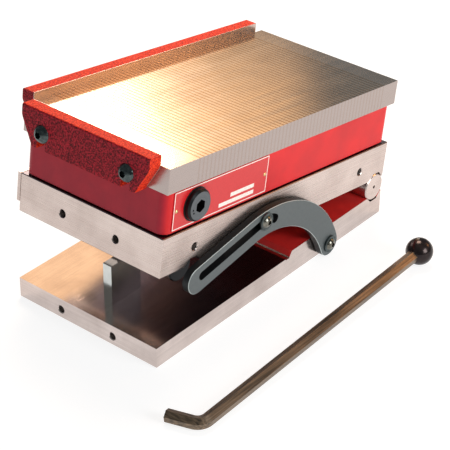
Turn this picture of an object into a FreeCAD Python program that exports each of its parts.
import FreeCAD, Part
import math
import os

V = FreeCAD.Vector

# A permanent magnetic chuck on a sine plate, in millimetres.
# Origin: centre of the base's underside. X runs along the plates from the free, lifting end (-X)
# to the hinge (+X), Y from the front (name plate, lock arm) to the back, Z up.
# The base is drawn level. All that lifts is drawn closed, then turned up about the hinge axis.

# ---- Driving dimensions -------------------------------------------------------------------------

# Plates
PLATE_LENGTH = 304.8
PLATE_WIDTH = 152.4
LAND_THICKNESS = 19.05          # base under the ground land that gauge blocks stand on
TABLE_RISE = 4.6                # painted table, higher than the land
LAND_LENGTH = 170.0             # free end to the foot of the table's riser
RISER_RUN = 3.6
RELIEF_WIDTH = 4.0              # groove at the riser's foot that lets a block stand square
RELIEF_DEPTH = 1.1
SINE_THICKNESS = 34.0
EDGE_BREAK = 0.6

# Sine rolls
ROLL_DIAMETER = 25.4
ROLL_SPACING = 254.0
HINGE_INSET = 11.3              # hinge axis to the plates' end
ROLL_STAND_OFF = 7.25           # roll axis to the sine plate's underside
VEE_ROOT_GAP = 0.95             # roll to the flat root of its vee
ROLL_CLEARANCE = 0.05           # hinge roll to the base's vee
GAUGE_ROLL_INSET = 12.0         # gauge roll's ends behind the plate's sides
CENTRE_DRILL_DIAMETER = 3.0
CENTRE_DRILL_DEPTH = 5.0
ROLL_CHAMFER = 0.8

# Gauge block under the gauge roll
BLOCK_HEIGHT = 38.1
BLOCK_LENGTH = 35.0
BLOCK_THICKNESS = 9.0
BLOCK_FROM_END = 20.2
BLOCK_Y = -5.6
BLOCK_CLEARANCE = 0.05
MAX_ANGLE = 45.0                # largest setting of the plate, in degrees

# Magnetic chuck
TOP_PLATE_THICKNESS = 21.5
CHUCK_HEIGHT = 58.6
HOUSING_INSET = 2.0
HOUSING_CORNER = 8.0
HOUSING_WALL = 16.0
SHADOW_GAP = 1.3                # housing's lower edge above the sine plate
COVER_THICKNESS = 6.2
COVER_INSET = 4.0               # cover's edge behind the housing's sides
STEEL_LAMINATION = 3.175
BRASS_SPACER = 1.5875
RAIL_END_BLOCK = 34.0
SMALLEST_END_BLOCK = 20.0
FIT_GAP = 0.2                   # general clearance between pieces that only sit beside each other
RUNNING_GAP = 0.05              # radial clearance of a journal in its bush

# On-off drive
SHAFT_FROM_END = 36.5
SHAFT_HEAD_DIAMETER = 26.8
SHAFT_HEAD_PROUD = 6.0
SHAFT_HEAD_CHAMFER = 1.6
FRONT_JOURNAL_DIAMETER = 19.0
REAR_JOURNAL_DIAMETER = 12.0
REAR_JOURNAL_DEPTH = 9.0
BUSH_WALL = 2.2
BUSH_FLANGE_CHAMFER = 0.6
THROW = 4.0                     # eccentric's offset: the pack travels twice this
ECCENTRIC_DIAMETER = 14.0
ECCENTRIC_LENGTH = 44.0
YOKE_SIDE_PLAY = 1.2
YOKE_WIDTH = 40.0
YOKE_WALL = 5.5
SEAL_THICKNESS = 1.2
SEAL_OVERHANG = 0.8
RING_THICKNESS = 1.2
DIMPLE_DIAMETER = 1.8
DIMPLE_SPACING = 2.9
DIMPLE_RADIUS = 8.6             # dimples' distance from the shaft's axis

# Magnet pack
PACK_END_PLAY = 1.5
CARRIAGE_THICKNESS = 5.0
CARRIAGE_LIFT = 0.2
GUIDE_THICKNESS = 4.0
GUIDE_HEIGHT = 7.0
MAGNET_WIDTH = 12.0
POLE_WIDTH = 6.35
PACK_TOP_GAP = 0.4

# Name plate
NAME_PLATE_LENGTH = 116.8
NAME_PLATE_HEIGHT = 32.8
NAME_PLATE_FROM_END = 10.3
NAME_PLATE_THICKNESS = 0.8
NAME_PLATE_CORNER = 1.5
NAME_PIN_DIAMETER = 3.2
NAME_PIN_INSET = 3.8
NAME_PIN_LENGTH = 5.0            # into the housing

# Work stops (rails)
RAIL_THICKNESS = 12.7
RAIL_HEIGHT = 32.2
RAIL_RISE = 8.5                 # rails' top above the working face
END_RAIL_LENGTH = 133.35
BACK_RAIL_LENGTH = 285.75
RAIL_SHOULDER = 9.5             # straight part of a rail's end, above the slanted part
RAIL_SLANT = 12.4
RAIL_BEND_RADIUS = 9.0
RAIL_TOP_ROUND = 1.6
RAIL_GAP = 0.05
RAIL_TRAVEL = 10.0
END_RAIL_SCREW_SPACING = 88.9
BACK_RAIL_SCREW_SPACING = 101.6
RAIL_SCREW_DIAMETER = 7.9
RAIL_SCREW_HEAD = 15.2
RAIL_SCREW_HEAD_HEIGHT = 4.8
RAIL_SCREW_DEPTH = 15.0
RAIL_SLOT_PLAY = 0.6

# Lock arm
PIVOT_FROM_END = 217.0
PIVOT_HEIGHT = 13.0
CLAMP_FROM_END = 120.0
CLAMP_BELOW_TOP = 18.3          # clamp screw below the sine plate's top
ARM_THICKNESS = 6.35
ARM_GAP = 1.5                   # room for the spacers between the arm and the plates' sides
ARM_WIDTH = 23.2
BLADE_SLOPE = 8.7               # degrees, at the rest angle
KNEE_FROM_CLAMP = 16.0          # start of the hook, on the tip's side of the clamp screw
SLOT_WIDTH = 7.9
SLOT_OFFSET = 1.5               # slot's middle line above the blade's
SLOT_TRAVEL = 58.0              # clamp screw's way along the slot up to the largest angle
SLOT_RUN_OUT = 22.0             # slot beyond that
SLOT_END_LENGTH = 13.8          # bent end of the slot, towards the pivot, for the closed plate
SLOT_END_RADIUS = 16.0
TIP_LENGTH = 5.5                # centre of the blade's round tip beyond the slot's
ARM_EDGE_BREAK = 0.4
CLAMP_SCREW_DIAMETER = 6.35
SHOULDER_DIAMETER = 9.5
ARM_HEAD_DIAMETER = 10.8
ARM_HEAD_HEIGHT = 3.0
ARM_WASHER_DIAMETER = 15.4
ARM_WASHER_THICKNESS = 1.7
ARM_SPACER_DIAMETER = 13.6
ARM_SCREW_DEPTH = 14.0
CLAMP_GAP = 0.1                 # the clamp's pieces slide on the arm and over the sine plate's side

# Holes and fasteners
TAPPED_HOLE_DIAMETER = 6.6
TAPPED_HOLE_DEPTH = 16.0
HOLE_COUNTERSINK = 0.6
BASE_HOLE_HEIGHT = 8.5
SINE_HOLE_HEIGHT = 15.5         # above the sine plate's underside
END_HOLE_SPACING = 57.15
SIDE_HOLE_FROM_END = 39.7
SIDE_HOLE_SPACING = 225.6
SCREW_DIAMETER = 6.35
SCREW_HEAD_DIAMETER = 9.5
SCREW_HEAD_HEIGHT = 6.35
SCREW_HEAD_PLAY = 0.5
ROLL_SCREW_Y = 45.0
ROLL_SCREW_DEPTH = 7.0          # into the roll, past its surface
MOUNT_SCREW_FROM_END = 67.4
COVER_SCREW_FROM_END = 20.4
TOP_SCREW_Y = 62.0
TOP_SCREW_DEPTH = 12.0
COVER_SCREW_DIAMETER = 4.8
COVER_SCREW_HEAD = 9.4
THREAD_LENGTH = 12.0

# Hinge keepers under the base
KEEPER_Y = 38.0
KEEPER_SEAT_RADIUS = 22.0       # about the hinge axis
KEEPER_WASHER_THICKNESS = 3.0
KEEPER_WASHER_LENGTH = 12.4
KEEPER_WASHER_WIDTH = 12.0
KEEPER_HEAD_HEIGHT = 5.4
KEEPER_PLAY = 0.7
KEEPER_RUNNING_GAP = 0.1
KEEPER_SWING_PLAY = 1.5         # degrees past each end of the travel

# Strip along the sine plate's back
STRIP_THICKNESS = 3.2
STRIP_HEIGHT = 25.4
STRIP_SCREW_FROM_END = 30.0
STRIP_SCREW_COUNT = 4
STRIP_SCREW_DIAMETER = 4.8
STRIP_SCREW_HEAD = 9.0
STRIP_SCREW_DEPTH = 9.0

# Operating wrench
HEX_ACROSS_FLATS = 9.525
SOCKET_PLAY = 0.2
SOCKET_DEPTH = 14.0
WRENCH_LONG_LEG = 293.7
WRENCH_SHORT_LEG = 29.0
WRENCH_BEND_ANGLE = 73.0        # degrees that the rod turns at the bend
WRENCH_BEND_RADIUS = 10.0
WRENCH_HEX_TURN = 20.0          # degrees from the bend's plane to a flat of the hexagon
WRENCH_YAW = 0.4                # degrees that the loose wrench lies off the plates' X
WRENCH_X = 106.7                # knob's centre
WRENCH_Y = -150.0
KNOB_DIAMETER = 24.2
KNOB_HOLE_DEPTH = 9.0

# ---- Places worked out from them ----------------------------------------------------------------

HALF_LENGTH = PLATE_LENGTH / 2
HALF_WIDTH = PLATE_WIDTH / 2
FREE_END = -HALF_LENGTH
FRONT = -HALF_WIDTH
BACK = HALF_WIDTH
ROLL_RADIUS = ROLL_DIAMETER / 2
TABLE_HEIGHT = LAND_THICKNESS + TABLE_RISE
HINGE_X = HALF_LENGTH - HINGE_INSET
HINGE_Z = LAND_THICKNESS + ROLL_RADIUS          # closed, the gauge roll lies on the land
GAUGE_ROLL_X = HINGE_X - ROLL_SPACING
SINE_BOTTOM = HINGE_Z + ROLL_STAND_OFF
SINE_TOP = SINE_BOTTOM + SINE_THICKNESS
SINE_HOLE_Z = SINE_BOTTOM + SINE_HOLE_HEIGHT
REST_ANGLE = math.degrees(math.asin((BLOCK_HEIGHT + BLOCK_CLEARANCE) / ROLL_SPACING))
WORK_FACE = SINE_TOP + CHUCK_HEIGHT
TOP_PLATE_BOTTOM = WORK_FACE - TOP_PLATE_THICKNESS
TOP_PLATE_MIDDLE = WORK_FACE - TOP_PLATE_THICKNESS / 2
HOUSING_BOTTOM = SINE_TOP + SHADOW_GAP
HOUSING_X = HALF_LENGTH - HOUSING_INSET
HOUSING_Y = HALF_WIDTH - HOUSING_INSET
CAVITY_X = HOUSING_X - HOUSING_WALL
CAVITY_Y = HOUSING_Y - HOUSING_WALL
COVER_TOP = SINE_TOP + COVER_THICKNESS
SHAFT_X = FREE_END + SHAFT_FROM_END
SHAFT_Z = (HOUSING_BOTTOM + TOP_PLATE_BOTTOM) / 2
FRONT_JOURNAL_RADIUS = FRONT_JOURNAL_DIAMETER / 2
BUSH_RADIUS = FRONT_JOURNAL_RADIUS + BUSH_WALL
ECCENTRIC_RADIUS = ECCENTRIC_DIAMETER / 2
HEX_RADIUS = HEX_ACROSS_FLATS / math.sqrt(3)
SOCKET_RADIUS = (HEX_ACROSS_FLATS + SOCKET_PLAY) / math.sqrt(3)
SIDE_WALL_SCREW_Y = (CAVITY_Y + HOUSING_Y - COVER_INSET) / 2
END_WALL_SCREW_X = (CAVITY_X + HOUSING_X - COVER_INSET) / 2
PIVOT_X = FREE_END + PIVOT_FROM_END
CLAMP_X = FREE_END + CLAMP_FROM_END
CLAMP_Z = SINE_TOP - CLAMP_BELOW_TOP
ARM_BACK_Y = FRONT - ARM_GAP
ARM_FRONT_Y = ARM_BACK_Y - ARM_THICKNESS
KEEPER_HEAD_RADIUS = KEEPER_SEAT_RADIUS + KEEPER_WASHER_THICKNESS

# ---- Small helpers ------------------------------------------------------------------------------


def block(x0, x1, y0, y1, z0, z1):
    return Part.makeBox(x1 - x0, y1 - y0, z1 - z0, V(x0, y0, z0))


def rod(radius, start, end):
    return Part.makeCylinder(radius, (end - start).Length, start, end - start)


def cone(radius_start, radius_end, start, end):
    return Part.makeCone(radius_start, radius_end, (end - start).Length, start, end - start)


def ring(outer_radius, inner_radius, start, end):
    return rod(outer_radius, start, end).cut(rod(inner_radius, start, end))


def hex_bar(radius, start, end, turn=0):
    """Six-sided bar between two points, its corners at the given radius. A level bar lies on a flat,
    or is turned from there about its axis by a number of degrees."""
    angles = [math.radians(60 * i + 30 + turn) for i in range(7)]
    corners = [V(radius * math.cos(angle), radius * math.sin(angle), 0) for angle in angles]
    bar = Part.Face(Part.makePolygon(corners)).extrude(V(0, 0, (end - start).Length))
    bar.Placement = FreeCAD.Placement(start, FreeCAD.Rotation(V(0, 0, 1), end - start))
    return bar


def side_prism(points, y0, y1):
    """Solid with a straight-sided outline in the XZ plane, running along Y."""
    outline = Part.makePolygon([V(x, y0, z) for x, z in points + points[:1]])
    return Part.Face(outline).extrude(V(0, y1 - y0, 0))


def edges_along(shape, direction):
    return [e for e in shape.Edges if abs(e.tangentAt(e.FirstParameter).dot(direction)) > 0.999]


def tapped_hole(mouth, direction):
    """Cutter for a tapped hole with a countersunk mouth."""
    inward = V(direction).normalize()
    radius = TAPPED_HOLE_DIAMETER / 2
    hole = rod(radius, mouth - inward, mouth + inward * TAPPED_HOLE_DEPTH)
    sink = cone(radius + HOLE_COUNTERSINK, radius, mouth, mouth + inward * HOLE_COUNTERSINK)
    return hole.fuse(sink)


def cap_screw(under_head, direction, diameter, head_diameter, head_height, length):
    """Socket head cap screw. The shank runs along direction from the seat under the head."""
    inward = V(direction).normalize()
    top = under_head - inward * head_height
    head_radius = head_diameter / 2
    edge = head_height * 0.12
    head = rod(head_radius, top + inward * edge, under_head)
    rim = cone(head_radius - edge, head_radius, top, top + inward * edge)
    shank = rod(diameter / 2, under_head, under_head + inward * length)
    socket = hex_bar(head_diameter * 0.29, top - inward, top + inward * head_height * 0.6)
    return head.fuse([rim, shank]).cut(socket).removeSplitter()


def button_screw(under_head, direction, diameter, head_diameter, head_height, length):
    """Screw with a low domed head and a hexagon socket."""
    inward = V(direction).normalize()
    head_radius = head_diameter / 2
    dome_radius = (head_radius ** 2 + head_height ** 2) / (2 * head_height)
    dome = Part.makeSphere(dome_radius, under_head + inward * (dome_radius - head_height))
    head = dome.common(rod(head_radius * 1.1, under_head - inward * head_height * 1.1, under_head))
    shank = rod(diameter / 2, under_head, under_head + inward * length)
    socket = hex_bar(head_diameter * 0.2, under_head - inward * head_height * 1.1,
                     under_head - inward * head_height * 0.3)
    return head.fuse(shank).cut(socket).removeSplitter()


def flat_screw(face_point, direction, diameter, head_diameter, length):
    """Countersunk screw whose head is flush with the face point."""
    inward = V(direction).normalize()
    sink = (head_diameter - diameter) / 2
    head = cone(head_diameter / 2, diameter / 2, face_point, face_point + inward * sink)
    shank = rod(diameter / 2, face_point + inward * sink, face_point + inward * length)
    socket = hex_bar(diameter * 0.3, face_point - inward, face_point + inward * sink * 0.8)
    return head.fuse(shank).cut(socket).removeSplitter()


def flat_screw_hole(face_point, direction, diameter, head_diameter, length):
    inward = V(direction).normalize()
    sink = (head_diameter - diameter) / 2
    mouth = cone(head_diameter / 2, diameter / 2, face_point, face_point + inward * sink)
    return mouth.fuse(rod(diameter / 2, face_point - inward, face_point + inward * length))


def tilted(shape):
    """Turn a closed-position shape up to the rest angle about the hinge axis."""
    turned = shape.copy()
    turned.rotate(V(HINGE_X, 0, HINGE_Z), V(0, 1, 0), REST_ANGLE)
    return turned


def vee_cutter(axis_x, radius, opens_up, reach):
    """90 degree vee along Y with a flat root, its flanks tangent to a roll of this radius."""
    root = radius + VEE_ROOT_GAP
    apex = radius * math.sqrt(2)
    side = 1 if opens_up else -1
    points = [(axis_x - apex + root, HINGE_Z - side * root),
              (axis_x + apex - root, HINGE_Z - side * root),
              (axis_x + apex + reach, HINGE_Z + side * reach),
              (axis_x - apex - reach, HINGE_Z + side * reach)]
    return side_prism(points, FRONT - 1, BACK + 1)


# ---- Base ---------------------------------------------------------------------------------------


def keeper_fan(radius, half_thickness, half_width):
    """Room swept by a keeper screw or its washer under the base, over the plate's whole travel."""
    axis = V(HINGE_X, 0, HINGE_Z)
    swing = MAX_ANGLE + 2 * KEEPER_SWING_PLAY
    fan = Part.makeCylinder(radius, 2 * half_width, V(0, -half_width, 0), V(0, 1, 0), swing)
    # makeCylinder starts its wedge along +Z here: turn it so that the wedge starts pointing down.
    fan.rotate(V(0, 0, 0), V(0, 1, 0), 180 - KEEPER_SWING_PLAY)
    fan.translate(axis)
    strips = []
    for angle in (-KEEPER_SWING_PLAY, MAX_ANGLE + KEEPER_SWING_PLAY):
        strip = block(-half_thickness, half_thickness, -half_width, half_width, -radius, 0)
        strip.rotate(V(0, 0, 0), V(0, 1, 0), angle)
        strip.translate(axis)
        strips.append(strip)
    return fan.fuse(strips)


def base_plate():
    table_start = FREE_END + LAND_LENGTH
    relief = LAND_THICKNESS - RELIEF_DEPTH
    profile = [(FREE_END, 0), (HALF_LENGTH, 0), (HALF_LENGTH, TABLE_HEIGHT),
               (table_start + RISER_RUN, TABLE_HEIGHT), (table_start, relief),
               (table_start - RELIEF_WIDTH, relief), (table_start - RELIEF_WIDTH - RELIEF_DEPTH,
                                                      LAND_THICKNESS), (FREE_END, LAND_THICKNESS)]
    plate = side_prism(profile, FRONT, BACK)
    plate = plate.makeChamfer(EDGE_BREAK, [e for e in plate.Edges if e.BoundBox.ZMax < 0.01])
    plate = plate.cut(vee_cutter(HINGE_X, ROLL_RADIUS + ROLL_CLEARANCE, True, ROLL_RADIUS))
    shank_room = SCREW_DIAMETER / 2 + KEEPER_PLAY
    shank_fan = keeper_fan(HINGE_Z + 1, shank_room, shank_room)
    washer_fan = keeper_fan(HINGE_Z + 20, KEEPER_WASHER_LENGTH / 2 + KEEPER_PLAY,
                            KEEPER_WASHER_WIDTH / 2 + KEEPER_PLAY)
    seat = rod(KEEPER_SEAT_RADIUS, V(HINGE_X, FRONT, HINGE_Z), V(HINGE_X, BACK, HINGE_Z))
    pocket = washer_fan.cut(seat)
    for side in (-1, 1):
        for cutter in (shank_fan, pocket):
            moved = cutter.copy()
            moved.translate(V(0, side * KEEPER_Y, 0))
            plate = plate.cut(moved)
        mouth = V(FREE_END, side * END_HOLE_SPACING / 2, BASE_HOLE_HEIGHT)
        plate = plate.cut(tapped_hole(mouth, V(1, 0, 0)))
    pivot = V(PIVOT_X, FRONT, PIVOT_HEIGHT)
    plate = plate.cut(rod(SCREW_DIAMETER / 2, pivot, pivot + V(0, ARM_SCREW_DEPTH, 0)))
    return plate


def arm_pivot_screw():
    face = V(PIVOT_X, FRONT, PIVOT_HEIGHT)
    under_head = V(PIVOT_X, ARM_FRONT_Y - CLAMP_GAP - ARM_WASHER_THICKNESS, PIVOT_HEIGHT)
    inward = V(0, 1, 0)
    shoulder = (face - under_head).Length
    screw = button_screw(under_head, inward, SHOULDER_DIAMETER, ARM_HEAD_DIAMETER, ARM_HEAD_HEIGHT,
                         shoulder)
    return screw.fuse(rod(SCREW_DIAMETER / 2, face, face + inward * ARM_SCREW_DEPTH))


def pivot_washer():
    back = V(PIVOT_X, ARM_FRONT_Y - CLAMP_GAP, PIVOT_HEIGHT)
    return ring(ARM_WASHER_DIAMETER / 2, SHOULDER_DIAMETER / 2, back, back - V(0, ARM_WASHER_THICKNESS, 0))


def pivot_spacer():
    face = V(PIVOT_X, FRONT, PIVOT_HEIGHT)
    return ring(ARM_SPACER_DIAMETER / 2, SHOULDER_DIAMETER / 2, face,
                face - V(0, ARM_GAP - CLAMP_GAP, 0))


# ---- Sine plate and rolls (closed position) -----------------------------------------------------


def side_hole_places():
    first = FREE_END + SIDE_HOLE_FROM_END
    return [V(x, FRONT, SINE_HOLE_Z) for x in (first, first + SIDE_HOLE_SPACING)]


def roll_screw_places():
    return [V(x, side * ROLL_SCREW_Y, SINE_TOP) for x in (GAUGE_ROLL_X, HINGE_X) for side in (-1, 1)]


def mount_screw_places():
    mount_x = HALF_LENGTH - MOUNT_SCREW_FROM_END
    return [V(x, y, SINE_BOTTOM) for x in (-mount_x, mount_x)
            for y in (-SIDE_WALL_SCREW_Y, SIDE_WALL_SCREW_Y)]


def strip_screw_places():
    pitch = (PLATE_LENGTH - 2 * STRIP_SCREW_FROM_END) / (STRIP_SCREW_COUNT - 1)
    return [V(FREE_END + STRIP_SCREW_FROM_END + i * pitch, BACK + STRIP_THICKNESS,
              SINE_TOP - STRIP_HEIGHT / 2) for i in range(STRIP_SCREW_COUNT)]


def sine_plate():
    plate = block(FREE_END, HALF_LENGTH, FRONT, BACK, SINE_BOTTOM, SINE_TOP)
    plate = plate.makeChamfer(EDGE_BREAK, plate.Edges)
    for x in (GAUGE_ROLL_X, HINGE_X):
        plate = plate.cut(vee_cutter(x, ROLL_RADIUS, False, 0))
    # The hinge vee leaves a feather edge at the plate's end: it is ground off.
    plate = plate.cut(block(HINGE_X, HALF_LENGTH + 1, FRONT - 1, BACK + 1, SINE_BOTTOM - 1,
                            SINE_BOTTOM + 2 * EDGE_BREAK))
    head_room = SCREW_HEAD_DIAMETER / 2 + SCREW_HEAD_PLAY
    for place in roll_screw_places():
        sunk = place - V(0, 0, SCREW_HEAD_HEIGHT + SCREW_HEAD_PLAY)
        plate = plate.cut(rod(head_room, sunk, place + V(0, 0, 1)))
        plate = plate.cut(rod(SCREW_DIAMETER / 2, V(place.x, place.y, HINGE_Z), sunk))
    for place in mount_screw_places():
        sunk = place + V(0, 0, SINE_THICKNESS / 2)
        plate = plate.cut(rod(head_room, place - V(0, 0, 1), sunk))
        plate = plate.cut(rod(SCREW_DIAMETER / 2, sunk, V(place.x, place.y, SINE_TOP + 1)))
    for side in (-1, 1):
        plate = plate.cut(tapped_hole(V(FREE_END, side * END_HOLE_SPACING / 2, SINE_HOLE_Z), V(1, 0, 0)))
    for place in side_hole_places():
        plate = plate.cut(tapped_hole(place, V(0, 1, 0)))
    clamp = V(CLAMP_X, FRONT, CLAMP_Z)
    plate = plate.cut(rod(CLAMP_SCREW_DIAMETER / 2, clamp, clamp + V(0, ARM_SCREW_DEPTH, 0)))
    for place in strip_screw_places():
        plate = plate.cut(rod(STRIP_SCREW_DIAMETER / 2, place, place - V(0, STRIP_SCREW_DEPTH, 0)))
    return tilted(plate)


def roll(x, half_length):
    axis_start, axis_end = V(x, -half_length, HINGE_Z), V(x, half_length, HINGE_Z)
    body = rod(ROLL_RADIUS, axis_start, axis_end)
    rims = [e for e in body.Edges if e.Closed and e.Length > 3 * ROLL_RADIUS]
    body = body.makeChamfer(ROLL_CHAMFER, rims)
    for end, inward in ((axis_start, V(0, 1, 0)), (axis_end, V(0, -1, 0))):
        body = body.cut(rod(CENTRE_DRILL_DIAMETER / 2, end, end + inward * CENTRE_DRILL_DEPTH))
    for side in (-1, 1):
        top = V(x, side * ROLL_SCREW_Y, HINGE_Z + ROLL_RADIUS + 1)
        bottom = V(x, side * ROLL_SCREW_Y, HINGE_Z + ROLL_RADIUS - ROLL_SCREW_DEPTH)
        body = body.cut(rod(SCREW_DIAMETER / 2, bottom, top))
    return body


def gauge_roll():
    return tilted(roll(GAUGE_ROLL_X, HALF_WIDTH - GAUGE_ROLL_INSET))


def keeper_screw_places():
    return [V(HINGE_X, side * KEEPER_Y, HINGE_Z) for side in (-1, 1)]


def hinge_roll():
    body = roll(HINGE_X, HALF_WIDTH)
    for axis_point in keeper_screw_places():
        tip = axis_point - V(0, 0, ROLL_RADIUS - ROLL_SCREW_DEPTH)
        body = body.cut(rod(SCREW_DIAMETER / 2, axis_point - V(0, 0, ROLL_RADIUS + 1), tip))
    return tilted(body)


def roll_screws():
    screws = []
    for place in roll_screw_places():
        under_head = place - V(0, 0, SCREW_HEAD_HEIGHT + SCREW_HEAD_PLAY)
        length = under_head.z - (HINGE_Z + ROLL_RADIUS - ROLL_SCREW_DEPTH)
        screws.append(tilted(cap_screw(under_head, V(0, 0, -1), SCREW_DIAMETER, SCREW_HEAD_DIAMETER,
                                       SCREW_HEAD_HEIGHT, length)))
    return screws


def keeper_screws():
    screws = []
    for axis_point in keeper_screw_places():
        under_head = axis_point - V(0, 0, KEEPER_HEAD_RADIUS)
        length = KEEPER_HEAD_RADIUS - ROLL_RADIUS + ROLL_SCREW_DEPTH
        screws.append(tilted(cap_screw(under_head, V(0, 0, 1), SCREW_DIAMETER, SCREW_HEAD_DIAMETER,
                                       KEEPER_HEAD_HEIGHT, length)))
    return screws


def saddle_washers():
    """Washers whose round upper face rides on the round seat under the base."""
    washers = []
    for axis_point in keeper_screw_places():
        blank = block(-KEEPER_WASHER_LENGTH / 2, KEEPER_WASHER_LENGTH / 2, -KEEPER_WASHER_WIDTH / 2,
                      KEEPER_WASHER_WIDTH / 2, -KEEPER_HEAD_RADIUS, 0)
        blank.translate(axis_point)
        seat_radius = KEEPER_SEAT_RADIUS + KEEPER_RUNNING_GAP
        hollow = rod(seat_radius, axis_point - V(0, 10, 0), axis_point + V(0, 10, 0))
        hole = rod(SCREW_DIAMETER / 2, axis_point - V(0, 0, HINGE_Z), axis_point)
        washers.append(tilted(blank.cut(hollow).cut(hole)))
    return washers


def mount_screws():
    """Screws from the sine plate's underside up into the chuck's side walls."""
    screws = []
    for place in mount_screw_places():
        under_head = place + V(0, 0, SINE_THICKNESS / 2)
        length = HOUSING_BOTTOM + THREAD_LENGTH - under_head.z
        screws.append(tilted(cap_screw(under_head, V(0, 0, 1), SCREW_DIAMETER, SCREW_HEAD_DIAMETER,
                                       SCREW_HEAD_HEIGHT, length)))
    return screws


def back_strip():
    strip = block(FREE_END, HALF_LENGTH, BACK, BACK + STRIP_THICKNESS, SINE_TOP - STRIP_HEIGHT, SINE_TOP)
    for place in strip_screw_places():
        strip = strip.cut(flat_screw_hole(place, V(0, -1, 0), STRIP_SCREW_DIAMETER, STRIP_SCREW_HEAD,
                                          STRIP_THICKNESS + 1))
    return tilted(strip)


def back_strip_screws():
    return [tilted(flat_screw(place, V(0, -1, 0), STRIP_SCREW_DIAMETER, STRIP_SCREW_HEAD,
                              STRIP_SCREW_DEPTH)) for place in strip_screw_places()]


# ---- Lock arm (rest position) -------------------------------------------------------------------


def clamp_at_rest():
    """Where the closed plate's clamp screw comes to lie once the plate is turned up."""
    turn = math.radians(REST_ANGLE)
    dx, dz = CLAMP_X - HINGE_X, CLAMP_Z - HINGE_Z
    return V(HINGE_X + dx * math.cos(turn) + dz * math.sin(turn), FRONT,
             HINGE_Z - dx * math.sin(turn) + dz * math.cos(turn))


def beside(edge, share, offset):
    """Point beside an edge in an XZ plane, at a share of its length."""
    parameter = edge.FirstParameter + share * (edge.LastParameter - edge.FirstParameter)
    tangent = edge.tangentAt(parameter)
    return edge.valueAt(parameter) + V(tangent.z, 0, -tangent.x) * offset


def band(edges, half_width):
    """Flat strip of constant width with round ends along a smooth row of lines and arcs."""
    outline = []
    for offset in (half_width, -half_width):
        for edge in edges:
            start, middle, end = [beside(edge, share, offset) for share in (0, 0.5, 1)]
            straight = edge.Curve.TypeId == "Part::GeomLine"
            outline.append(Part.makeLine(start, end) if straight else Part.Arc(start, middle, end).toShape())
    for edge, share, outward in ((edges[0], 0, -1), (edges[-1], 1, 1)):
        parameter = edge.LastParameter if share else edge.FirstParameter
        cap = edge.valueAt(parameter) + edge.tangentAt(parameter) * outward * half_width
        outline.append(Part.Arc(beside(edge, share, half_width), cap,
                                beside(edge, share, -half_width)).toShape())
    return Part.Face(Part.Wire(Part.__sortEdges__(outline)))


def tangent_arc(start, direction, end):
    """Arc that leaves start along the direction, bends to the right and reaches the end."""
    chord = end - start
    right = V(direction.z, 0, -direction.x)
    radius = chord.dot(chord) / (2 * chord.dot(right))
    centre = start + right * radius
    to_middle = (start + chord * 0.5 - centre).normalize()
    return Part.Arc(start, centre + to_middle * radius, end).toShape()


def lock_arm():
    slope = math.radians(BLADE_SLOPE)
    lead = V(math.cos(slope), 0, math.sin(slope))       # from the tip towards the hook
    right = V(lead.z, 0, -lead.x)
    clamp = clamp_at_rest() - V(0, ARM_GAP, 0)
    pivot = V(PIVOT_X, ARM_BACK_Y, PIVOT_HEIGHT)
    thickness = V(0, -ARM_THICKNESS, 0)
    slot_start = clamp - lead * (SLOT_TRAVEL + SLOT_RUN_OUT)
    tip = slot_start - lead * TIP_LENGTH + right * SLOT_OFFSET
    knee = clamp - lead * KNEE_FROM_CLAMP + right * SLOT_OFFSET
    arm = band([Part.makeLine(tip, knee), tangent_arc(knee, lead, pivot)], ARM_WIDTH / 2)
    arm = arm.extrude(thickness)
    front_edges = [e for e in arm.Edges if e.BoundBox.YMax < ARM_FRONT_Y + 0.01]
    arm = arm.makeChamfer(ARM_EDGE_BREAK, front_edges)
    bend = SLOT_END_LENGTH / SLOT_END_RADIUS
    slot_end = clamp + (lead * math.sin(bend) + right * (1 - math.cos(bend))) * SLOT_END_RADIUS
    slot = band([Part.makeLine(slot_start, clamp), tangent_arc(clamp, lead, slot_end)], SLOT_WIDTH / 2)
    bore = rod(SHOULDER_DIAMETER / 2 + RUNNING_GAP, pivot, pivot + thickness)
    return arm.cut(slot.extrude(thickness)).cut(bore)


def clamp_screw():
    """Screw in the arm's slot. Its shank ends just short of the sine plate's side."""
    under_head = clamp_at_rest() - V(0, ARM_GAP + ARM_THICKNESS + CLAMP_GAP + ARM_WASHER_THICKNESS, 0)
    length = (clamp_at_rest() - under_head).Length - CLAMP_GAP
    return button_screw(under_head, V(0, 1, 0), CLAMP_SCREW_DIAMETER, ARM_HEAD_DIAMETER, ARM_HEAD_HEIGHT,
                        length)


def clamp_washer():
    back = clamp_at_rest() - V(0, ARM_GAP + ARM_THICKNESS + CLAMP_GAP, 0)
    return ring(ARM_WASHER_DIAMETER / 2, CLAMP_SCREW_DIAMETER / 2, back, back - V(0, ARM_WASHER_THICKNESS, 0))


def clamp_spacer():
    back = clamp_at_rest() - V(0, CLAMP_GAP, 0)
    front = clamp_at_rest() - V(0, ARM_GAP - CLAMP_GAP, 0)
    return ring(ARM_SPACER_DIAMETER / 2, CLAMP_SCREW_DIAMETER / 2, back, front)


# ---- Chuck (closed position) --------------------------------------------------------------------


def top_screw_places():
    return [V(x, y, COVER_TOP) for x in (-END_WALL_SCREW_X, END_WALL_SCREW_X)
            for y in (-TOP_SCREW_Y, 0, TOP_SCREW_Y)]


def cover_screw_places():
    last = HALF_LENGTH - COVER_SCREW_FROM_END
    return [V(x, y, SINE_TOP) for x in (-last, 0, last)
            for y in (-SIDE_WALL_SCREW_Y, SIDE_WALL_SCREW_Y)]


def name_pin_places():
    first = FREE_END + NAME_PLATE_FROM_END + NAME_PIN_INSET
    last = FREE_END + NAME_PLATE_FROM_END + NAME_PLATE_LENGTH - NAME_PIN_INSET
    return [V(x, -HOUSING_Y, SHAFT_Z) for x in (first, last)]


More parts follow.
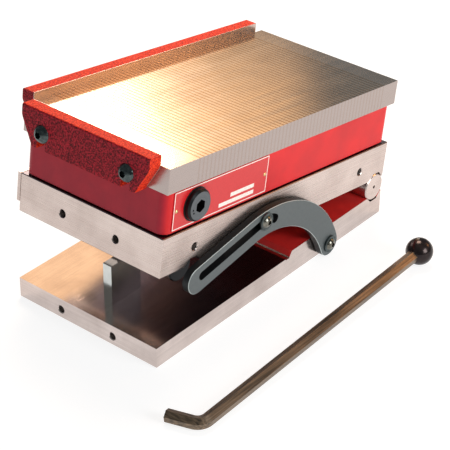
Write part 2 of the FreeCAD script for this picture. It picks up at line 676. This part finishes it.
def chuck_housing():
    body = block(-HOUSING_X, HOUSING_X, -HOUSING_Y, HOUSING_Y, HOUSING_BOTTOM, TOP_PLATE_BOTTOM)
    body = body.makeFillet(HOUSING_CORNER, edges_along(body, V(0, 0, 1)))
    body = body.cut(block(-CAVITY_X, CAVITY_X, -CAVITY_Y, CAVITY_Y, HOUSING_BOTTOM - 1,
                          TOP_PLATE_BOTTOM + 1))
    rebate_x, rebate_y = HOUSING_X - COVER_INSET, HOUSING_Y - COVER_INSET
    body = body.cut(block(-rebate_x, rebate_x, -rebate_y, rebate_y, HOUSING_BOTTOM - 1, COVER_TOP))
    head_room = SCREW_HEAD_DIAMETER / 2 + SCREW_HEAD_PLAY
    for place in top_screw_places():
        sunk = place + V(0, 0, SCREW_HEAD_HEIGHT + SCREW_HEAD_PLAY)
        body = body.cut(rod(head_room, place, sunk))
        body = body.cut(rod(SCREW_DIAMETER / 2, sunk, V(place.x, place.y, TOP_PLATE_BOTTOM + 1)))
    for place in mount_screw_places():
        body = body.cut(rod(SCREW_DIAMETER / 2, V(place.x, place.y, COVER_TOP - 1),
                            V(place.x, place.y, HOUSING_BOTTOM + THREAD_LENGTH)))
    for place in cover_screw_places():
        body = body.cut(rod(COVER_SCREW_DIAMETER / 2, place, place + V(0, 0, THREAD_LENGTH)))
    front = V(SHAFT_X, -HOUSING_Y, SHAFT_Z)
    body = body.cut(rod(BUSH_RADIUS, front, front + V(0, HOUSING_WALL, 0)))
    rear = V(SHAFT_X, CAVITY_Y, SHAFT_Z)
    body = body.cut(rod(REAR_JOURNAL_DIAMETER / 2 + BUSH_WALL, rear, rear + V(0, REAR_JOURNAL_DEPTH, 0)))
    for place in name_pin_places():
        body = body.cut(rod(NAME_PIN_DIAMETER / 4, place, place + V(0, NAME_PIN_LENGTH, 0)))
    return tilted(body)


def bottom_cover():
    edge_x, edge_y = HOUSING_X - COVER_INSET - FIT_GAP, HOUSING_Y - COVER_INSET - FIT_GAP
    cover = block(-edge_x, edge_x, -edge_y, edge_y, SINE_TOP, COVER_TOP)
    for place in mount_screw_places():
        cover = cover.cut(rod(SCREW_DIAMETER / 2, V(place.x, place.y, SINE_TOP),
                              V(place.x, place.y, COVER_TOP)))
    for place in cover_screw_places():
        cover = cover.cut(flat_screw_hole(place, V(0, 0, 1), COVER_SCREW_DIAMETER, COVER_SCREW_HEAD,
                                          COVER_THICKNESS + 1))
    return tilted(cover)


def cover_screws():
    return [tilted(flat_screw(place, V(0, 0, 1), COVER_SCREW_DIAMETER, COVER_SCREW_HEAD, THREAD_LENGTH))
            for place in cover_screw_places()]


def top_plate_screws():
    screws = []
    for place in top_screw_places():
        under_head = place + V(0, 0, SCREW_HEAD_HEIGHT + SCREW_HEAD_PLAY)
        length = TOP_PLATE_BOTTOM + TOP_SCREW_DEPTH - under_head.z
        screws.append(tilted(cap_screw(under_head, V(0, 0, 1), SCREW_DIAMETER, SCREW_HEAD_DIAMETER,
                                       SCREW_HEAD_HEIGHT, length)))
    return screws


def lamination_count():
    room = PLATE_LENGTH - RAIL_END_BLOCK - SMALLEST_END_BLOCK - BRASS_SPACER
    return int(room / (STEEL_LAMINATION + BRASS_SPACER))


def top_bar(x0, x1):
    return block(x0, x1, FRONT, BACK, TOP_PLATE_BOTTOM, WORK_FACE)


def end_rail_screw_places():
    return [V(FREE_END, side * END_RAIL_SCREW_SPACING / 2, TOP_PLATE_MIDDLE) for side in (-1, 1)]


def back_rail_screw_places():
    return [V(i * BACK_RAIL_SCREW_SPACING, BACK, TOP_PLATE_MIDDLE) for i in (-1, 0, 1)]


def top_plate_holes():
    """Everything that is bored into the laminated top plate."""
    radius = RAIL_SCREW_DIAMETER / 2
    holes = [rod(radius, place, place + V(RAIL_SCREW_DEPTH, 0, 0)) for place in end_rail_screw_places()]
    holes += [rod(radius, place, place - V(0, RAIL_SCREW_DEPTH, 0)) for place in back_rail_screw_places()]
    for place in top_screw_places():
        foot = V(place.x, place.y, TOP_PLATE_BOTTOM)
        holes.append(rod(SCREW_DIAMETER / 2, foot, foot + V(0, 0, TOP_SCREW_DEPTH)))
    return holes


def bored(bar, holes):
    for hole in holes:
        if bar.BoundBox.intersect(hole.BoundBox):
            bar = bar.cut(hole)
    return tilted(bar)


def pack_start():
    return FREE_END + RAIL_END_BLOCK


def steel_laminations():
    holes = top_plate_holes()
    pitch = STEEL_LAMINATION + BRASS_SPACER
    first = pack_start() + BRASS_SPACER
    return [bored(top_bar(first + i * pitch, first + i * pitch + STEEL_LAMINATION), holes)
            for i in range(lamination_count())]


def brass_spacers():
    holes = top_plate_holes()
    pitch = STEEL_LAMINATION + BRASS_SPACER
    return [bored(top_bar(pack_start() + i * pitch, pack_start() + i * pitch + BRASS_SPACER), holes)
            for i in range(lamination_count() + 1)]


def rail_end_block():
    return bored(top_bar(FREE_END, pack_start()), top_plate_holes())


def hinge_end_block():
    pack_end = pack_start() + lamination_count() * (STEEL_LAMINATION + BRASS_SPACER) + BRASS_SPACER
    return bored(top_bar(pack_end, HALF_LENGTH), top_plate_holes())


def name_plate():
    x0 = FREE_END + NAME_PLATE_FROM_END
    z0 = SHAFT_Z - NAME_PLATE_HEIGHT / 2
    back_y = -HOUSING_Y
    plate = block(x0, x0 + NAME_PLATE_LENGTH, back_y - NAME_PLATE_THICKNESS, back_y, z0,
                  z0 + NAME_PLATE_HEIGHT)
    plate = plate.makeFillet(NAME_PLATE_CORNER, edges_along(plate, V(0, 1, 0)))
    axis = V(SHAFT_X, back_y, SHAFT_Z)
    opening = SHAFT_HEAD_DIAMETER / 2 + SEAL_OVERHANG + FIT_GAP
    plate = plate.cut(rod(opening, axis - V(0, NAME_PLATE_THICKNESS, 0), axis))
    for place in name_pin_places():
        plate = plate.cut(rod(NAME_PIN_DIAMETER / 4, place - V(0, NAME_PLATE_THICKNESS, 0), place))
    return tilted(plate)


def name_plate_pins():
    pins = []
    for place in name_pin_places():
        seat = place - V(0, NAME_PLATE_THICKNESS, 0)
        radius = NAME_PIN_DIAMETER / 2
        dome = Part.makeSphere(radius * 1.25, seat + V(0, radius * 0.75, 0))
        dome = dome.common(rod(radius * 2, seat, seat - V(0, radius, 0)))
        shank = rod(NAME_PIN_DIAMETER / 4, seat, place + V(0, NAME_PIN_LENGTH, 0))
        pins.append(tilted(dome.fuse(shank)))
    return pins


def rail_outline(length, slots):
    """Rail seen square on, centred on x = 0 with its top at z = 0: slanted ends, slots open below."""
    half = length / 2
    bottom = -RAIL_HEIGHT
    foot = half - RAIL_SLANT
    points = [V(-half, 0, 0), V(half, 0, 0), V(half, 0, -RAIL_SHOULDER), V(foot, 0, bottom),
              V(-foot, 0, bottom), V(-half, 0, -RAIL_SHOULDER)]
    body = Part.Face(Part.makePolygon(points + points[:1])).extrude(V(0, RAIL_THICKNESS, 0))
    shoulders = [e for e in edges_along(body, V(0, 1, 0)) if abs(e.BoundBox.ZMax + RAIL_SHOULDER) < 0.01]
    body = body.makeFillet(RAIL_BEND_RADIUS, shoulders)
    slot_radius = RAIL_SCREW_DIAMETER / 2 + RAIL_SLOT_PLAY
    screw_z = TOP_PLATE_MIDDLE - WORK_FACE - RAIL_RISE
    for x in slots:
        centre = V(x, -1, screw_z + RAIL_SLOT_PLAY - FIT_GAP)
        body = body.cut(rod(slot_radius, centre, centre + V(0, RAIL_THICKNESS + 2, 0)))
        body = body.cut(block(x - slot_radius, x + slot_radius, -1, RAIL_THICKNESS + 1, bottom - 1,
                              centre.z))
    outer_top = [e for e in body.Edges if e.BoundBox.ZMin > -0.01 and e.BoundBox.YMin > RAIL_THICKNESS - 0.01]
    return body.makeFillet(RAIL_TOP_ROUND, outer_top)


def end_rail():
    slots = [place.y for place in end_rail_screw_places()]
    rail = rail_outline(END_RAIL_LENGTH, slots)
    rail.rotate(V(0, 0, 0), V(0, 0, 1), 90)
    rail.translate(V(FREE_END - RAIL_GAP, 0, WORK_FACE + RAIL_RISE))
    return tilted(rail)


def back_rail():
    rail = rail_outline(BACK_RAIL_LENGTH, [place.x for place in back_rail_screw_places()])
    rail.translate(V(0, BACK + RAIL_GAP, WORK_FACE + RAIL_RISE))
    return tilted(rail)


def rail_screws(places, outward):
    reach = RAIL_THICKNESS + 2 * RAIL_GAP
    return [tilted(button_screw(place + outward * reach, outward * -1, RAIL_SCREW_DIAMETER,
                                RAIL_SCREW_HEAD, RAIL_SCREW_HEAD_HEIGHT, reach + RAIL_SCREW_DEPTH))
            for place in places]


# ---- On-off drive and magnet pack (closed position) ---------------------------------------------


def drive_bush():
    front = V(SHAFT_X, -HOUSING_Y, SHAFT_Z)
    bush = ring(BUSH_RADIUS, FRONT_JOURNAL_RADIUS + RUNNING_GAP, front, front + V(0, HOUSING_WALL, 0))
    return tilted(bush)


def rear_bush():
    start = V(SHAFT_X, CAVITY_Y, SHAFT_Z)
    radius = REAR_JOURNAL_DIAMETER / 2
    return tilted(ring(radius + BUSH_WALL, radius + RUNNING_GAP, start, start + V(0, REAR_JOURNAL_DEPTH, 0)))


def shaft_seal():
    face = V(SHAFT_X, -HOUSING_Y, SHAFT_Z)
    return tilted(ring(SHAFT_HEAD_DIAMETER / 2 + SEAL_OVERHANG, BUSH_RADIUS - BUSH_FLANGE_CHAMFER, face,
                       face - V(0, SEAL_THICKNESS, 0)))


def drive_shaft():
    """Turned shaft: head with the wrench's hexagon socket, journals and the eccentric between them."""
    face_y = -HOUSING_Y - SHAFT_HEAD_PROUD
    head_back_y = -HOUSING_Y - SEAL_THICKNESS - RUNNING_GAP
    head = rod(SHAFT_HEAD_DIAMETER / 2, V(SHAFT_X, face_y, SHAFT_Z), V(SHAFT_X, head_back_y, SHAFT_Z))
    front_rim = [e for e in head.Edges if e.Closed and e.BoundBox.YMax < face_y + 0.01]
    head = head.makeChamfer(SHAFT_HEAD_CHAMFER, front_rim)
    eccentric_start, eccentric_end = -ECCENTRIC_LENGTH / 2, ECCENTRIC_LENGTH / 2
    front = rod(FRONT_JOURNAL_RADIUS, V(SHAFT_X, head_back_y, SHAFT_Z),
                V(SHAFT_X, -CAVITY_Y + 2 * RING_THICKNESS, SHAFT_Z))
    core_radius = REAR_JOURNAL_DIAMETER / 2
    rear_end = CAVITY_Y + REAR_JOURNAL_DEPTH - FIT_GAP
    core = rod(core_radius, V(SHAFT_X, -CAVITY_Y, SHAFT_Z), V(SHAFT_X, eccentric_start, SHAFT_Z))
    rear = rod(core_radius, V(SHAFT_X, eccentric_end, SHAFT_Z), V(SHAFT_X, rear_end, SHAFT_Z))
    eccentric = rod(ECCENTRIC_RADIUS, V(SHAFT_X - THROW, eccentric_start, SHAFT_Z),
                    V(SHAFT_X - THROW, eccentric_end, SHAFT_Z))
    shaft = head.fuse([front, core, eccentric, rear])
    socket = hex_bar(SOCKET_RADIUS, V(SHAFT_X, face_y - 1, SHAFT_Z),
                     V(SHAFT_X, face_y + SOCKET_DEPTH, SHAFT_Z))
    shaft = shaft.cut(socket)
    groove_y = -CAVITY_Y + FIT_GAP
    groove = ring(FRONT_JOURNAL_RADIUS + 1, FRONT_JOURNAL_RADIUS - RING_THICKNESS,
                  V(SHAFT_X, groove_y, SHAFT_Z), V(SHAFT_X, groove_y + RING_THICKNESS, SHAFT_Z))
    shaft = shaft.cut(groove)
    for side in (-1, 1):
        angle = math.radians(200) + side * DIMPLE_SPACING / 2 / DIMPLE_RADIUS
        place = V(SHAFT_X + DIMPLE_RADIUS * math.cos(angle), face_y,
                  SHAFT_Z + DIMPLE_RADIUS * math.sin(angle))
        shaft = shaft.cut(cone(DIMPLE_DIAMETER / 2, 0.2, place, place + V(0, DIMPLE_DIAMETER / 2, 0)))
    return tilted(shaft)


def retaining_ring():
    """Spring ring in the shaft's groove, just inside the housing's front wall."""
    y = -CAVITY_Y + FIT_GAP
    return tilted(ring(FRONT_JOURNAL_RADIUS + 1.6, FRONT_JOURNAL_RADIUS - RING_THICKNESS,
                       V(SHAFT_X, y, SHAFT_Z), V(SHAFT_X, y + RING_THICKNESS, SHAFT_Z)))


def carriage_front_x():
    """Near face of the magnet pack's main part, clear of the shaft on the hinge side."""
    return SHAFT_X + FRONT_JOURNAL_RADIUS + PACK_END_PLAY


def carriage_far_x():
    return CAVITY_X - 2 * THROW - PACK_END_PLAY


def magnet_carriage():
    """Tray that carries the magnets, with the yoke that the eccentric turns in."""
    half_width = CAVITY_Y - GUIDE_THICKNESS - FIT_GAP
    floor_bottom = COVER_TOP + CARRIAGE_LIFT
    floor_top = floor_bottom + CARRIAGE_THICKNESS
    tray = block(carriage_front_x(), carriage_far_x(), -half_width, half_width, floor_bottom, floor_top)
    eccentric_x = SHAFT_X - THROW
    slot_half = ECCENTRIC_RADIUS + YOKE_SIDE_PLAY
    slot_height = ECCENTRIC_RADIUS + THROW + YOKE_SIDE_PLAY
    yoke = block(eccentric_x - slot_half - YOKE_WALL, carriage_front_x() + YOKE_WALL, -YOKE_WIDTH / 2,
                 YOKE_WIDTH / 2, floor_bottom, TOP_PLATE_BOTTOM - PACK_TOP_GAP)
    window = block(eccentric_x - slot_half, eccentric_x + slot_half, -YOKE_WIDTH, YOKE_WIDTH,
                   floor_bottom - 1, SHAFT_Z + slot_height)
    return tilted(tray.fuse(yoke).cut(window).removeSplitter())


def pack_bars(width, offset):
    """Upright bars across the tray, one magnet and one pole in each pitch."""
    pitch = MAGNET_WIDTH + POLE_WIDTH
    start = carriage_front_x() + YOKE_WALL + FIT_GAP
    half_width = CAVITY_Y - GUIDE_THICKNESS - FIT_GAP
    bottom = COVER_TOP + CARRIAGE_LIFT + CARRIAGE_THICKNESS
    count = int((carriage_far_x() - start - POLE_WIDTH) / pitch)
    return [tilted(block(start + i * pitch + offset, start + i * pitch + offset + width, -half_width,
                         half_width, bottom, TOP_PLATE_BOTTOM - PACK_TOP_GAP)) for i in range(count)]


def carriage_guides():
    guides = []
    for side in (-1, 1):
        inner, outer = side * (CAVITY_Y - GUIDE_THICKNESS), side * CAVITY_Y
        guides.append(tilted(block(carriage_front_x(), CAVITY_X, min(inner, outer), max(inner, outer),
                                   COVER_TOP, COVER_TOP + GUIDE_HEIGHT)))
    return guides


# ---- Loose pieces -------------------------------------------------------------------------------


def gauge_block():
    x0 = FREE_END + BLOCK_FROM_END
    bar = block(x0, x0 + BLOCK_LENGTH, BLOCK_Y - BLOCK_THICKNESS / 2, BLOCK_Y + BLOCK_THICKNESS / 2,
                LAND_THICKNESS, LAND_THICKNESS + BLOCK_HEIGHT)
    return bar.makeChamfer(EDGE_BREAK / 2, edges_along(bar, V(0, 0, 1)))


def lay_down(shape):
    """Lay the wrench on the floor: the knob is fatter than the rod, so the rod slopes to its end."""
    turn = math.radians(WRENCH_BEND_ANGLE)
    corner = math.radians(30 - WRENCH_HEX_TURN)         # lowest corner of the hexagon, from straight down
    reach = WRENCH_LONG_LEG + WRENCH_SHORT_LEG * math.cos(turn)
    reach -= HEX_RADIUS * math.sin(corner) * math.sin(turn)
    slope = math.degrees(math.asin((KNOB_DIAMETER / 2 - HEX_RADIUS * math.cos(corner)) / reach))
    laid = shape.copy()
    laid.rotate(V(0, 0, 0), V(0, 1, 0), -slope)
    laid.rotate(V(0, 0, 0), V(0, 0, 1), WRENCH_YAW)
    laid.translate(V(WRENCH_X, WRENCH_Y, KNOB_DIAMETER / 2))
    return laid


def wrench_rod():
    """Hexagon rod from inside the knob along -X, then round the bend to the short leg."""
    turn = math.radians(WRENCH_BEND_ANGLE)
    tangent = WRENCH_BEND_RADIUS * math.tan(turn / 2)
    start = V(KNOB_HOLE_DEPTH - KNOB_DIAMETER / 2, 0, 0)
    bend_start = V(-WRENCH_LONG_LEG + tangent, 0, 0)
    long_leg = hex_bar(HEX_RADIUS, start, bend_start, WRENCH_HEX_TURN)
    section = [f for f in long_leg.Faces if abs(f.CenterOfMass.x - bend_start.x) < 0.01][0]
    centre = V(bend_start.x, WRENCH_BEND_RADIUS, 0)
    bend = section.revolve(centre, V(0, 0, 1), -WRENCH_BEND_ANGLE)
    direction = V(-math.cos(turn), math.sin(turn), 0)
    end_section = section.copy()
    end_section.rotate(centre, V(0, 0, 1), -WRENCH_BEND_ANGLE)
    short_leg = end_section.extrude(direction * (WRENCH_SHORT_LEG - tangent))
    return lay_down(long_leg.fuse([bend, short_leg]).removeSplitter())


def ball_knob():
    ball = Part.makeSphere(KNOB_DIAMETER / 2)
    hole = hex_bar(HEX_RADIUS, V(KNOB_HOLE_DEPTH - KNOB_DIAMETER / 2, 0, 0), V(-KNOB_DIAMETER, 0, 0),
                   WRENCH_HEX_TURN)
    return lay_down(ball.cut(hole))


# ---- Write one file per node --------------------------------------------------------------------

NODES = {
    "base_plate": base_plate,
    "arm_pivot_screw": arm_pivot_screw,
    "pivot_washer": pivot_washer,
    "pivot_spacer": pivot_spacer,
    "sine_plate": sine_plate,
    "gauge_roll": gauge_roll,
    "hinge_roll": hinge_roll,
    "roll_screws": roll_screws,
    "hinge_keeper_screws": keeper_screws,
    "saddle_washers": saddle_washers,
    "chuck_mount_screws": mount_screws,
    "back_strip": back_strip,
    "back_strip_screws": back_strip_screws,
    "lock_arm": lock_arm,
    "clamp_screw": clamp_screw,
    "clamp_washer": clamp_washer,
    "clamp_spacer": clamp_spacer,
    "chuck_housing": chuck_housing,
    "bottom_cover": bottom_cover,
    "cover_screws": cover_screws,
    "top_plate_screws": top_plate_screws,
    "steel_laminations": steel_laminations,
    "brass_spacers": brass_spacers,
    "rail_end_block": rail_end_block,
    "hinge_end_block": hinge_end_block,
    "name_plate": name_plate,
    "name_plate_pins": name_plate_pins,
    "end_rail": end_rail,
    "end_rail_screws": lambda: rail_screws(end_rail_screw_places(), V(-1, 0, 0)),
    "back_rail": back_rail,
    "back_rail_screws": lambda: rail_screws(back_rail_screw_places(), V(0, 1, 0)),
    "drive_bush": drive_bush,
    "rear_bush": rear_bush,
    "shaft_seal": shaft_seal,
    "drive_shaft": drive_shaft,
    "retaining_ring": retaining_ring,
    "magnet_carriage": magnet_carriage,
    "magnets": lambda: pack_bars(MAGNET_WIDTH, POLE_WIDTH),
    "pole_bars": lambda: pack_bars(POLE_WIDTH, 0),
    "carriage_guides": carriage_guides,
    "gauge_block": gauge_block,
    "wrench_rod": wrench_rod,
    "ball_knob": ball_knob,
}

os.makedirs("parts", exist_ok=True)
for name, make in NODES.items():
    made = make()
    shape = Part.makeCompound(made) if isinstance(made, list) else made
    shape.exportStep("parts/" + name + ".step")
print("wrote", len(NODES), "nodes")
